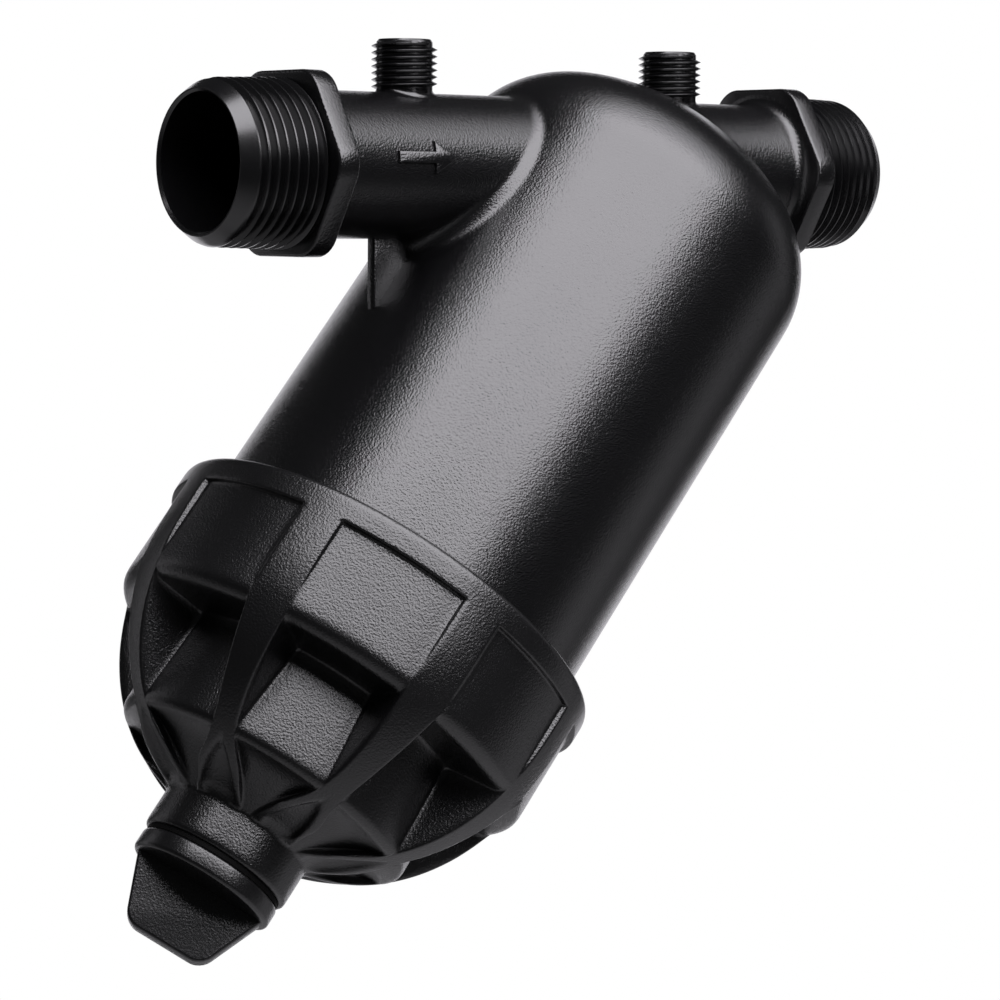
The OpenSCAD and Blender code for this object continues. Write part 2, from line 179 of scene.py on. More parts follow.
def shaped_grid(name, columns, rows, place):
    """A grid primitive whose point in column i and row j moves to place(i, j), in millimetres."""
    bpy.ops.mesh.primitive_grid_add(x_subdivisions=columns, y_subdivisions=rows, size=2)
    piece = bpy.context.object
    piece.name = name
    flat = np.array([vertex.co for vertex in piece.data.vertices])
    column = np.rint((flat[:, 0] + 1) / 2 * columns).astype(int)
    row = np.rint((flat[:, 1] + 1) / 2 * rows).astype(int)
    piece.data.vertices.foreach_set("co", (place(column, row) * MM).ravel())
    edit(piece)
    tidy_mesh()
    return piece


def skin(name, rings):
    """A grid whose rows are rings of points, one after the other."""
    table = np.stack(rings)
    return shaped_grid(name, table.shape[1] - 1, len(rings) - 1, lambda i, j: table[j, i])


print("outline, lathe and grid helpers are ready")

# %% [markdown]
# ## Helpers: modifiers and joining
# Boolean modifiers cut and weld solids as drills and melted plastic would. Each modifier is applied
# at once, so that the next step meets plain mesh. A piece is modelled where that is easy and then
# laid in its place. Applying the transform moves the mesh, and the object itself stays at the
# origin, unturned.

# %% Modifiers and joining
def finish_modifier(piece, kind, **settings):
    """Adds a modifier, sets it and applies it."""
    choose(piece)
    modifier = piece.modifiers.new(kind.title(), kind)
    for key, value in settings.items():
        setattr(modifier, key, value)
    bpy.ops.object.modifier_apply(modifier=modifier.name)


def combine(piece, operation, *tools):
    """Takes the tools away from the piece, or welds them to it, and uses them up."""
    for tool in tools:
        finish_modifier(piece, "BOOLEAN", operation=operation, solver="EXACT", object=tool)
        bpy.data.objects.remove(tool)


def lay(piece, matrix):
    """Moves the piece's mesh by a matrix, so that its object stays at the origin."""
    choose(piece)
    piece.matrix_world = matrix
    bpy.ops.object.transform_apply(location=True, rotation=True, scale=True)
    return piece


def join(name, pieces):
    """Makes one object of several pieces that were moulded as one."""
    bpy.ops.object.select_all(action="DESELECT")
    for piece in pieces:
        piece.select_set(True)
    bpy.context.view_layer.objects.active = pieces[0]
    bpy.ops.object.join()
    pieces[0].name = name
    return pieces[0]


def smooth(piece, degrees=32):
    """Shades the rounded stretches smooth and keeps the true corners."""
    choose(piece)
    bpy.ops.object.shade_smooth_by_angle(angle=math.radians(degrees))


def count(piece):
    """Says how many faces a piece has."""
    print(piece.name, "has", len(piece.data.polygons), "faces")


print("modifier and joining helpers are ready")

# %% [markdown]
# ## Threads
# A pipe thread is one V of the section carried round a screw. The Screw modifier does just that: it
# turns an open outline of one pitch about Z while it climbs. A moulded crest is never sharp, so a
# small arc tops the V. The raw ends of the screw are ragged, so two bisecting planes trim them flat
# and fill the cuts. Crests above a lead cone are pulled back to it, as a chasing tool would leave
# them.

# %% Thread helpers
SAME = 0.001
BISECT_SNAP = 1e-8
CREST_ARC = 60
CREST_STEPS = 4
SPARE_TURNS = 2


def wind(piece, pitch, turns, steps):
    """Carries an outline round Z while it climbs one pitch in each turn."""
    finish_modifier(piece, "SCREW", axis="Z", angle=2 * math.pi, screw_offset=pitch * MM,
                    iterations=turns, steps=steps, render_steps=steps, use_merge_vertices=True,
                    merge_threshold=MERGE)


def thread(name, root, crest, pitch, length, crest_round, root_flat, steps=72):
    """A solid rod with a right-hand thread on Z, from 0 to its length. Sizes are in millimetres."""
    crest_centre = (crest - crest_round, (pitch + root_flat) / 2)
    ridge_top = arc(crest_centre, crest_round, -CREST_ARC, CREST_ARC, CREST_STEPS)
    rod = outline(name, [(root, 0), (root, root_flat)] + ridge_top + [(root, pitch)])
    pick_edges(rod, lambda a, b: abs(abs(a.z - b.z) - pitch) < SAME)
    bpy.ops.mesh.delete(type="EDGE")
    leave_edit()
    wind(rod, pitch, math.ceil(length / pitch) + SPARE_TURNS, steps)
    edit(rod)
    bpy.ops.mesh.remove_doubles(threshold=MERGE)
    for level, waste in ((pitch, "clear_inner"), (pitch + length, "clear_outer")):
        bpy.ops.mesh.select_all(action="SELECT")
        bpy.ops.mesh.bisect(plane_co=(0, 0, level * MM), plane_no=(0, 0, 1), use_fill=True,
                            threshold=BISECT_SNAP, **{waste: True})
    tidy_mesh()
    return lay(rod, Matrix.Translation((0, 0, -pitch * MM)))


def reach_of(vertex):
    """How far a point is from the Z axis, in millimetres."""
    return math.hypot(vertex.co.x, vertex.co.y) / MM


def set_reach(vertex, wanted):
    """Moves a point straight out or in, until it is wanted millimetres from the Z axis."""
    share = wanted / reach_of(vertex)
    vertex.co.x *= share
    vertex.co.y *= share


def trim_crests(rod, most, least=lambda height: 0):
    """Moves every point to between least(height) and most(height) from the axis, in millimetres."""
    for vertex in rod.data.vertices:
        height = vertex.co.z / MM
        set_reach(vertex, min(max(reach_of(vertex), least(height)), most(height)))


print("thread helpers are ready")

# %% [markdown]
# ## Distance to the walls
# To fit one form onto another, it helps to know how far any point is from a wall. The body's
# outside is a straight wall, a rounded shoulder and a flatter crown, so the distance to it is that
# to one cylinder, one ring or one ball, depending on where the point lies. The way in which a
# distance grows fastest points straight off the wall.

# %% Distance to the walls
BODY_R = 40.5
BODY_WALL = 3.5
SHOULDER_LEVEL = 17.5
SHOULDER_R = 21
CROWN_R = 55
PIPE_R = 14.5
BORE_R = 12
CROWN_LEAN = math.asin((BODY_R - SHOULDER_R) / (CROWN_R - SHOULDER_R))
CROWN_CENTRE = SHOULDER_LEVEL + (CROWN_R - SHOULDER_R) * math.cos(CROWN_LEAN)


def body_distance(points):
    """Signed distance in millimetres from points to the outside of the body."""
    local = points - np.array([CROSS_X, 0, 0])
    level = local @ body_down
    radius = np.linalg.norm(local - level[..., None] * body_down, axis=-1)
    wall = radius - BODY_R
    shoulder = np.hypot(radius - (BODY_R - SHOULDER_R), level - SHOULDER_LEVEL) - SHOULDER_R
    crown = np.hypot(radius, level - CROWN_CENTRE) - CROWN_R
    in_crown = np.arctan2(radius, CROWN_CENTRE - level) < CROWN_LEAN
    return np.where(level > SHOULDER_LEVEL, wall, np.where(in_crown, crown, shoulder))


def near_wall(points):
    """Signed distance to whichever is closer, the outside of the pipe run or of the body."""
    pipe = np.hypot(points[..., 1], points[..., 2]) - PIPE_R
    return np.minimum(pipe, body_distance(points))


def slope(distance, points, step=0.01):
    """The direction in which a distance grows fastest."""
    sides = [distance(points + step * axis) - distance(points - step * axis) for axis in np.eye(3)]
    grad = np.stack(sides, axis=-1)
    return grad / np.linalg.norm(grad, axis=-1, keepdims=True)


print("crown centre at level", round(CROWN_CENTRE, 2))

# %% [markdown]
# ## Rolled fillets
# Where the pipe meets the body the mould has a soft hollow corner, and it carries the brightest
# line of the whole filter. Bevel can't make it here, because the seam of two slanting cylinders
# crosses many narrow faces. So the corner is made as a machinist would: a ball rolls along it,
# touching both walls. For each angle round the pipe a search by halves finds where the ball's
# centre is one ball radius away from the body, and the arc between the two touching points is the
# fillet.

# %% Rolling ball
HALVINGS = 50
SUNK = 1.5


def meet(start, heading, far, distance, gap):
    """How far along heading each start point travels until it is gap away from the wall."""
    low, high = np.zeros(len(start)), np.full(len(start), float(far))
    for _ in range(HALVINGS):
        middle = (low + high) / 2
        outside = distance(start + middle[:, None] * heading) > gap
        low, high = np.where(outside, middle, low), np.where(outside, high, middle)
    return low


def rolled_fillet(axis_point, heading, outward, radius, ball, far, distance, steps):
    """Rings of points from a shaft to the wall, along a ball that rolls in their corner."""
    ball = ball + np.zeros(len(outward))
    on_axis = np.array(axis_point) + np.zeros_like(outward)
    centre_line = on_axis + outward * (radius + ball)[:, None]
    travel = meet(centre_line, heading, far, distance, ball)
    centre = centre_line + travel[:, None] * heading
    from_shaft, from_wall = -outward, -slope(distance, centre)
    turn = np.arccos(np.clip(np.sum(from_shaft * from_wall, axis=1), -1, 1))[:, None]
    rings = []
    for share in np.arange(steps + 1) / steps:
        toward = np.sin((1 - share) * turn) * from_shaft + np.sin(share * turn) * from_wall
        rings.append(centre + ball[:, None] * (toward / np.sin(turn)))
    rings.append(rings[-1] + SUNK * from_wall)
    return rings


print("rolling ball is ready")

# %% [markdown]
# ## Housing: the body
# The body is one thick wall turned about its own axis: a domed end, a long straight wall, an open
# mouth, and inside it the partition with the socket that holds the cartridge. One closed outline
# therefore gives the outside and the inside at once. The pipe's bores are then drilled through it
# with booleans.

# %% Body
BODY_MOUTH = 134
MOUTH_EASE = 0.6
SEAT_TOP = 10.98
SEAT_LEVEL = 13.98
SOCKET_END = 20.98
SOCKET_R = 21.1
SOCKET_OUTER_R = 24
INLET_PORT_X = 79.8
INLET_DRILL = (INLET_PORT_X - 40, INLET_PORT_X + 3)
OUTLET_DRILL = (CROSS_X + 1, PIPE_LENGTH)
DRILL_PLAY = 0.05
UNDER_SEAT_ANGLE = -22
CHAMBER_R = BODY_R - BODY_WALL
lean = math.degrees(CROWN_LEAN)
shoulder_centre = (BODY_R - SHOULDER_R, SHOULDER_LEVEL)
body_outline = (
    arc((0, CROWN_CENTRE), CROWN_R, -90, -90 + lean, 16)
    + arc(shoulder_centre, SHOULDER_R, -90 + lean, 0, 14)[1:]
    + [(BODY_R, BODY_MOUTH - MOUTH_EASE), (BODY_R - MOUTH_EASE, BODY_MOUTH)]
    + [(CHAMBER_R + MOUTH_EASE, BODY_MOUTH), (CHAMBER_R, BODY_MOUTH - MOUTH_EASE)]
    + [(CHAMBER_R, SEAT_LEVEL), (SOCKET_OUTER_R, SEAT_LEVEL), (SOCKET_OUTER_R, SOCKET_END)]
    + [(SOCKET_R, SOCKET_END), (SOCKET_R, SEAT_TOP), (CHAMBER_R - 0.3, SEAT_TOP)]
    + arc(shoulder_centre, SHOULDER_R - BODY_WALL, UNDER_SEAT_ANGLE, -90 + lean, 9)
    + arc((0, CROWN_CENTRE), CROWN_R - BODY_WALL, -90 + lean, -90, 10)[1:]
)
body = lay(lathe("body", body_outline, steps=144), on_body_axis)


def bore(start, finish):
    """A drill along the pipe's axis."""
    bpy.ops.mesh.primitive_cylinder_add(
        vertices=72, radius=(BORE_R + DRILL_PLAY) * MM, depth=(finish - start) * MM,
        location=((start + finish) / 2 * MM, 0, 0), rotation=(0, math.pi / 2, 0))
    return bpy.context.object


combine(body, "DIFFERENCE", bore(*INLET_DRILL), bore(*OUTLET_DRILL))
count(body)

# %% [markdown]
# ## Housing: the pipe stubs
# Each stub is a tube between a hexagon and the body. Its outside starts with a small hollow fillet
# on the hexagon, runs straight, and ends in the rolled fillet on the body. Round the tube every
# angle has the same chain of points, so a grid whose two ends close on themselves describes it. The
# corner is tight under the outlet, so the ball shrinks there: its radius sways about a middle value
# from the top to the bottom.

# %% Pipe stubs
HEX_START = 19
HEX_THICK = 5
HEX_INSIDE = HEX_START + HEX_THICK
HEX_FILLET = 2.4
HEX_OVERLAP = 2
WALL_OVERLAP = 1.0
AROUND = 112
FILLET_STEPS = 12
INLET_BALL = (3.6, 0.4)
OUTLET_BALL = (2.8, 1.0)


def ring_of(radius, x, outward):
    """One ring of points about the pipe's axis."""
    return outward * radius + np.array([1.0, 0, 0]) * np.reshape(x, (-1, 1))


def stub(name, hex_face, heading_x, far, ball):
    """A tube from a hexagon into the body's wall, with the ball's radius as (middle, sway)."""
    turn = np.radians(np.arange(AROUND + 1) * 360 / AROUND)
    outward = np.stack([np.zeros_like(turn), np.cos(turn), np.sin(turn)], axis=1)
    heading = np.array([heading_x, 0.0, 0.0])
    in_hexagon = hex_face - heading_x * HEX_OVERLAP
    hollow = arc((PIPE_R + HEX_FILLET, HEX_FILLET), HEX_FILLET, 270, 180, 6)
    rings = [ring_of(BORE_R, in_hexagon, outward), ring_of(hollow[0][0], in_hexagon, outward)]
    rings += [ring_of(radius, hex_face + heading_x * height, outward) for radius, height in hollow]
    balls = ball[0] + ball[1] * np.sin(turn)
    rings += rolled_fillet((hex_face, 0, 0), heading, outward, PIPE_R, balls, far, body_distance,
                           FILLET_STEPS)
    at_bore = ring_of(BORE_R, hex_face, outward)
    depth = meet(at_bore, heading, far, body_distance, -WALL_OVERLAP)
    return skin(name, rings + [at_bore + depth[:, None] * heading, rings[0]])


inlet_stub = stub("inlet_stub", HEX_INSIDE, 1, 75, INLET_BALL)
outlet_stub = stub("outlet_stub", PIPE_LENGTH - HEX_INSIDE, -1, 45, OUTLET_BALL)
count(inlet_stub)
count(outlet_stub)

# %% [markdown]
# ## Housing: hexagons
# A spanner holds the filter by the hexagon behind each pipe thread. A six-sided cylinder gives the
# prism, and two bevels round it: a wide one on the six upright edges, where the mould is soft, and
# a fine one on the rims. The wide one comes first, so that the fine one can run round the softened
# corners.

# %% Hexagon
HEX_FLATS = 36
HEX_CORNER = 3.6
HEX_EDGE = 0.6


def hexagon(name):
    """A rounded hexagon on Z, from 0 to its thickness, with flats at the top and the bottom."""
    corner_r = HEX_FLATS / 2 / math.cos(math.pi / 6)
    bpy.ops.mesh.primitive_cylinder_add(vertices=6, radius=corner_r * MM, depth=HEX_THICK * MM,
                                        location=(0, 0, HEX_THICK / 2 * MM))
    piece = bpy.context.object
    piece.name = name
    bpy.ops.object.transform_apply(location=True, rotation=True, scale=True)
    pick_edges(piece, lambda a, b: abs(a.z - b.z) > HEX_THICK / 2)
    bpy.ops.mesh.bevel(offset=HEX_CORNER * MM, segments=6, profile=0.5)
    leave_edit()
    pick_edges(piece, lambda a, b: abs(a.z - b.z) < HEX_THICK / 2)
    bpy.ops.mesh.bevel(offset=HEX_EDGE * MM, segments=3, profile=0.5)
    leave_edit()
    return piece


print("a hexagon measures", HEX_FLATS, "mm across its flats")

# %% [markdown]
# ## Housing: pipe threads
# Both ends carry a one inch taper pipe thread, so that screwing the filter in tightens the seal.
# The mouth has a long plain lead cone, and the first groove runs out into it. The thread and the
# hexagon are welded into one solid, and a tapered drill then opens the mouth: drilled last, one cut
# leaves one clean bore.

# %% Pipe ends
END_RIM_R = 14.2
END_LEAD = 3.8
END_PLAIN = 3.0
END_RUN_OUT = 1.6
END_CREST_R = 16.7
END_ROOT_R = 15.0
END_PITCH = 2.209
END_SUNK = 1
TAPER = 1 / 32
MOUTH_R = 13.4
MOUTH_CHAMFER = 0.5
MOUTH_LENGTH = 26


def end_lead(height):
    """The crest's reach: a cone at the mouth, then a slow taper up to the hexagon."""
    cone = END_RIM_R + (END_CREST_R - END_RIM_R) * height / END_LEAD
    return min(cone, END_CREST_R - TAPER * (HEX_START - height))


def end_plain(height):
    """The least reach: the lead cone stays plain, and the first groove runs out into it."""
    return end_lead(min(height, END_PLAIN)) - END_RUN_OUT * max(0, height - END_PLAIN)


def pipe_end(name):
    """Thread and hexagon on Z, from the open face inwards, drilled through."""
    rod = thread(name + "_thread", END_ROOT_R, END_CREST_R, END_PITCH, HEX_START + END_SUNK,
                 crest_round=0.16, root_flat=0.4)
    trim_crests(rod, end_lead, end_plain)
    nut = lay(hexagon(name + "_nut"), Matrix.Translation((0, 0, HEX_START * MM)))
    combine(rod, "UNION", nut)
    combine(rod, "DIFFERENCE", lathe("drill", [
        (0, -1), (MOUTH_R + MOUTH_CHAMFER, -0.01), (MOUTH_R, MOUTH_CHAMFER), (BORE_R, MOUTH_LENGTH),
        (0, MOUTH_LENGTH)], 96))
    return rod


quarter = Matrix.Rotation(math.pi / 2, 4, "Y")
from_outlet = Matrix.Translation((PIPE_LENGTH * MM, 0, 0)) @ quarter.inverted()
inlet_end = lay(pipe_end("inlet_end"), quarter)
outlet_end = lay(pipe_end("outlet_end"), from_outlet)
count(inlet_end)
count(outlet_end)

# %% [markdown]
# ## Housing: gauge nozzles
# Two small threaded nozzles on top of the pipe take pressure gauges. Each has a foot that spreads
# onto the pipe in a rolled fillet, a sharp quarter inch thread, and a plain rounded lead at its
# top. The outlet's nozzle stands close to the dome, so its ball rolls on whichever wall is nearer.
# The holes stay closed until a gauge is fitted.

# %% Nozzles
NOZZLE_X = {"inlet": 49.5, "outlet": 120.5}
NOZZLE_TOP = 25
NOZZLE_FOOT = 14.3
NOZZLE_LENGTH = NOZZLE_TOP - NOZZLE_FOOT
NOZZLE_CREST_R = 6.58
NOZZLE_ROOT_R = 5.6
NOZZLE_PITCH = 1.337
NOZZLE_LEAD = 0.9
NOZZLE_RIM = 0.45
NOZZLE_CREST_FROM = 0.8
NOZZLE_CREST_FULL = 1.3
NOZZLE_BALL = 1.3
NOZZLE_FLOOR = 13.6
HOLE_R = 2.2
HOLE_LENGTH = 20
HOLE_MIDDLE = NOZZLE_FLOOR + HOLE_LENGTH / 2
SMALL_AROUND = 64


def nozzle_foot(name, x):
    """A plug from inside the pipe's wall up into the thread, spreading onto the pipe."""
    turn = np.radians(np.arange(SMALL_AROUND + 1) * 360 / SMALL_AROUND)
    outward = np.stack([np.cos(turn), np.sin(turn), np.zeros_like(turn)], axis=1)
    down = np.array([0, 0, -1.0])
    fillet = rolled_fillet((x, 0, NOZZLE_TOP), down, outward, NOZZLE_ROOT_R, NOZZLE_BALL,
                           NOZZLE_TOP - 4, near_wall, 8)
    top = np.array([x, 0, NOZZLE_FOOT + 2.0])
    bottom = np.array([x, 0, NOZZLE_FLOOR - 0.5])
    lid = [top + 0 * outward, top + NOZZLE_ROOT_R * outward]
    return skin(name, lid + fillet + [bottom + 3 * outward, bottom + 0 * outward])


def nozzle_lead(height):
    """The crest's reach: it rises above the foot and stops below the plain, rounded lead."""
    if height > NOZZLE_LENGTH - NOZZLE_LEAD:
        return NOZZLE_ROOT_R - max(0.0, height - NOZZLE_LENGTH + NOZZLE_RIM) * 0.9
    if height > NOZZLE_CREST_FULL:
        return NOZZLE_CREST_R
    return NOZZLE_ROOT_R + max(0.0, height - NOZZLE_CREST_FROM) * 2


def nozzle(name, x):
    """Foot and threaded tip of one nozzle, with its blind hole."""
    rod = thread(name, NOZZLE_ROOT_R, NOZZLE_CREST_R, NOZZLE_PITCH, NOZZLE_LENGTH,
                 crest_round=0.08, root_flat=0.25, steps=64)
    trim_crests(rod, nozzle_lead)
    lay(rod, Matrix.Translation((x * MM, 0, NOZZLE_FOOT * MM)))
    foot = nozzle_foot(name + "_foot", x)
    for piece in (rod, foot):
        bpy.ops.mesh.primitive_cylinder_add(vertices=40, radius=HOLE_R * MM, depth=HOLE_LENGTH * MM,
                                            location=(x * MM, 0, HOLE_MIDDLE * MM))
        combine(piece, "DIFFERENCE", bpy.context.object)
    return [rod, foot]


nozzles = [piece for side, x in NOZZLE_X.items() for piece in nozzle(side + "_nozzle", x)]
for piece in nozzles:
    count(piece)

# %% [markdown]
# ## Housing: the web
# Below the inlet a thin three-cornered web stiffens the corner between pipe and body. A cylinder
# with three sides is already that prism, so its corners only have to move to their places, a little
# inside both walls, and a bevel eases the edges.

# %% Web
WEB_FRONT = 41.3
WEB_THICK = 2.4
WEB_EDGE = 0.5
WEB_SUNK = 1
slant = math.radians(BODY_ANGLE)


def body_side(depth, z):
    """X of the body's upper side at a height, some way inside the wall."""
    level = ((BODY_R - depth) * math.cos(slant) - z) / math.sin(slant)
    return CROSS_X - level * math.cos(slant) - (BODY_R - depth) * math.sin(slant)


web_top = WEB_SUNK - PIPE_R
web_back = body_side(WEB_SUNK, web_top)
web_tip = web_top - (web_back - WEB_FRONT) * math.tan(slant)
bpy.ops.mesh.primitive_cylinder_add(vertices=3, radius=0.01, depth=WEB_THICK * MM,
                                    rotation=(math.pi / 2, 0, 0))
web = bpy.context.object
web.name = "web"
bpy.ops.object.transform_apply(location=True, rotation=True, scale=True)
corners = [(WEB_FRONT, web_top), (WEB_FRONT, web_tip), (web_back, web_top)]
ranked = sorted(web.data.vertices, key=lambda v: (round(math.atan2(v.co.z, v.co.x), 3), v.co.y))
for number, vertex in enumerate(ranked):
    x, z = corners[number // 2]
    vertex.co = (x * MM, vertex.co.y, z * MM)
edit(web)
bpy.ops.mesh.bevel(offset=WEB_EDGE * MM, segments=3, profile=0.5)
tidy_mesh()
count(web)

# %% [markdown]
# ## Housing: the flow arrow
# A raised arrow on the inlet stub shows which way the water runs. Its outline is drawn flat from a
# seven-pointed ring, filled and extruded, and its upper rim is eased. Cuts along its length then
# let it bend, and it is wrapped round the pipe.

# %% Flow arrow
ARROW = ((37, 1.1), (46, 1.1), (46, 3.2), (51.5, 0), (46, -3.2), (46, -1.1), (37, -1.1))
ARROW_SUNK, ARROW_RAISED, ARROW_EASE = 0.4, 0.6, 0.2
ARROW_CUTS = np.arange(-2.8, 3, 0.7)
ARROW_LIFT = math.radians(6)
arrow = outline("arrow", ARROW)
edit(arrow)
bpy.ops.mesh.edge_face_add()
arrow_height = ARROW_SUNK + ARROW_RAISED
bpy.ops.mesh.extrude_region_move(TRANSFORM_OT_translate={"value": (0, -arrow_height * MM, 0)})
tidy_mesh()
pick_edges(arrow, lambda a, b: max(a.y, b.y) < -ARROW_SUNK)
bpy.ops.mesh.bevel(offset=ARROW_EASE * MM, segments=2, profile=0.5)
bpy.ops.mesh.select_mode(type="VERT")
for height in ARROW_CUTS:
    bpy.ops.mesh.select_all(action="SELECT")
    bpy.ops.mesh.bisect(plane_co=(0, 0, height * MM), plane_no=(0, 0, 1), threshold=BISECT_SNAP)
tidy_mesh()
for vertex in arrow.data.vertices:
    along, out, across = vertex.co / MM
    turn, reach_out = across / PIPE_R + ARROW_LIFT, PIPE_R - ARROW_SUNK - out
    vertex.co = (along * MM, -reach_out * math.cos(turn) * MM, reach_out * math.sin(turn) * MM)
count(arrow)

# %% [markdown]
# ## Housing: the mouth's screw
# The cover runs on a coarse ridge wound round the body's mouth. Here the Screw modifier carries a
# closed outline, so it makes a bar. Towards both ends the bar sinks into the wall, so that the
# cover's own ridge finds its way in, and filling the two open ends closes it. The ridge shows when
# the cover is unscrewed.

# %% Mouth screw
RIDGE_PITCH = 6
RIDGE_TURNS = 2
RIDGE_STEPS = 96
RIDGE_RUN_OUT = 12
RIDGE_START = 118.6
RIDGE_ROOT_R = BODY_R - 0.3
RIDGE_CREST_R = 42.3
LEAST_RIDGE = 0.05
ridge_corners = [
    (RIDGE_ROOT_R, RIDGE_START),
    (RIDGE_CREST_R, RIDGE_START + 0.9),
    (RIDGE_CREST_R, RIDGE_START + 2.1),
    (RIDGE_ROOT_R, RIDGE_START + 3.0),
]
ridge = outline("ridge", ridge_corners)
wind(ridge, RIDGE_PITCH, RIDGE_TURNS, RIDGE_STEPS)
for vertex in ridge.data.vertices:
    step = vertex.index // len(ridge_corners)
    from_end = min(step, RIDGE_TURNS * RIDGE_STEPS - step)
    share = min(1, LEAST_RIDGE + from_end / RIDGE_RUN_OUT)
    set_reach(vertex, RIDGE_ROOT_R + (reach_of(vertex) - RIDGE_ROOT_R) * share)
edit(ridge)
bpy.ops.mesh.select_all(action="DESELECT")
bpy.ops.mesh.select_non_manifold()
bpy.ops.mesh.fill_holes(sides=0)
tidy_mesh()
lay(ridge, on_body_axis)
count(ridge)

# %% [markdown]
# ## Housing: one moulding
# The real housing leaves the mould in one piece, so its parts become one object. The threads stay a
# second one, because they come out of the mould smoother and get a finish of their own. Both ride
# on the housing's body and stand for its CAD node.

# %% The housing as one moulding
housing = join("housing_moulding", [body, inlet_stub, outlet_stub, web, arrow, ridge])
threads = join("housing_threads", [inlet_end, outlet_end] + nozzles)
for piece in (housing, threads):
    smooth(piece)
    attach(piece, "housing")
    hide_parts("housing")
    count(piece)

# %% [markdown]
# ## Cover: the section
# The cover is the piece that takes most skill. Eight ribs run from a plain collar to the drain's
# neck. Between them lie sunken panels, and below those deep bays for the fingers, with the cup's
# wall at their back. All eight bays are alike, so the cover is one grid wrapped round the axis: the
# rows follow the outside down to the neck and come back along the inside. Two sections are written
# down, one through a bay and one through a rib. They share every row, and the rib's outer edge is
# one long arc.

# %% Cover: section of a bay and of a rib
RIB_COUNT = 8
RIB_TURN = 12.9
COVER_R = 47
COLLAR_TOP = 113
COLLAR_ROUND = 1.4
BULGE_R = 45
BULGE_LEVEL = 126.1
PANEL_R = 45.8
PANEL_END = 136.4
LEDGE_LEVEL = 140
LEDGE_ROUND = 3
CUP_R = 32
CUP_BORE_R = 30
CUP_ROUND = 2
CUP_ROUND_LEVEL = 158.8
CONE_END = 168.4
NECK_R = 15.7
NECK_LEVEL = 169
NECK_END = 177.4
DRAIN_R = 13.25
CEILING = 136.8
SHELL_R = 42.6


def bulge_r(level):
    """Radius of the ribs' outer edge."""
    below = np.maximum(np.asarray(level, float) - BULGE_LEVEL, 0)
    return COVER_R - BULGE_R + np.sqrt(BULGE_R ** 2 - below ** 2)


def upright(radius, *levels):
    """Points of a straight wall."""
    return [(radius, level) for level in levels]


collar_centre = (COVER_R - COLLAR_ROUND, COLLAR_TOP + COLLAR_ROUND)
collar = (
    [(43.4, COLLAR_TOP), (collar_centre[0], COLLAR_TOP)]
    + arc(collar_centre, COLLAR_ROUND, -67.5, 0, 3)
    + upright(COVER_R, 116, 117.7)
)
sill = [
    (46.98, 118.15), (46.85, 118.38), (46.4, 118.5), (46.05, 118.56), (45.84, 118.75),
    (PANEL_R, 119.2),
]
rib_sill_levels = [118.15, 118.3, 118.5, 118.7, 118.9, 119.2]
panel = upright(PANEL_R, 124, 130, 135, PANEL_END)
bay = (
    arc((PANEL_R - LEDGE_ROUND, LEDGE_LEVEL - LEDGE_ROUND), LEDGE_ROUND, 12, 90, 5)
    + [(41, LEDGE_LEVEL), (37, LEDGE_LEVEL), (CUP_R + 1.2, LEDGE_LEVEL)]
    + [(CUP_R + 0.2, LEDGE_LEVEL + 0.25)]
    + upright(CUP_R, 141.2, 147, 153, CUP_ROUND_LEVEL - 0.4)
    + arc((CUP_R - CUP_ROUND, CUP_ROUND_LEVEL), CUP_ROUND, 12, 90, 5)
    + [(28.6, 161), (25.6, 161.9), (21.6, 164.5), (18, 167), (16.2, CONE_END)]
)
neck = (
    [(NECK_R + 0.02, NECK_LEVEL - 0.05)]
    + upright(NECK_R, 169.4, 171.5, 174.5, 176.6)
    + [(15.5, 177.1), (15, NECK_END)]
)
inside = (
    [(14, NECK_END), (13.5, 177.3)] + upright(DRAIN_R, 176.8, 172, CONE_END)
    + [(14.2, 167.1), (18, 162.8), (22.5, 157.7), (23.5, 157.1)]
    + [(25, 157), (28.5, 157), (29.8, 156.7)]
    + upright(CUP_BORE_R, 155.5, 147, 138.2)
    + [(30.2, 137.1), (31, CEILING), (36, CEILING), (41.4, CEILING), (42.4, 136.5)]
    + upright(SHELL_R, 135.6, 128, 120, 114.4) + [(42.75, 113.4)]
)
bay_section = np.array(collar + sill + panel + bay + neck + inside + collar[:1])
rib_section = bay_section.copy()
first, start_bay, last = len(collar), len(collar + sill + panel), len(collar + sill + panel + bay)
rib_section[first:first + len(sill), 1] = rib_sill_levels
sweep_ends = [math.asin((level - BULGE_LEVEL) / BULGE_R) for level in (PANEL_END, CONE_END)]
sweep = np.linspace(*sweep_ends, len(bay) + 1)[1:]
rib_section[start_bay:last, 1] = BULGE_LEVEL + BULGE_R * np.sin(sweep)
rib_section[first:last, 0] = bulge_r(rib_section[first:last, 1])
print("the cover's section has", len(bay_section), "rows")

# %% [markdown]
# ## Cover: the ribs' width and their pockets
# Seen from outside, a rib keeps its width down to the ledge, tapers to a waist close to the neck
# and then spreads in an arc, so that two neighbours meet in a round hollow. In each foot lies a
# shallow pocket with a pointed top: two arcs that meet, as in a church window.

# %% Cover: rib and pocket
RIB_HALF = 4.45
WAIST_HALF = 2.5
FOOT_CURVE = 6.25
TAPER_LEVEL = 136.8
WAIST_LEVEL = 160
FOOT_LEVEL = 165
POCKET_HALF = 3.7
POCKET_TOP = 162
POCKET_DEPTH = 0.8


def rib_half(level):
    """Half the width of a rib at a level."""
    taper = np.interp(level, [TAPER_LEVEL, WAIST_LEVEL], [RIB_HALF, WAIST_HALF])
    below = np.clip(level - WAIST_LEVEL, 0, FOOT_LEVEL - WAIST_LEVEL)
    return taper + FOOT_CURVE - np.sqrt(FOOT_CURVE ** 2 - below ** 2)


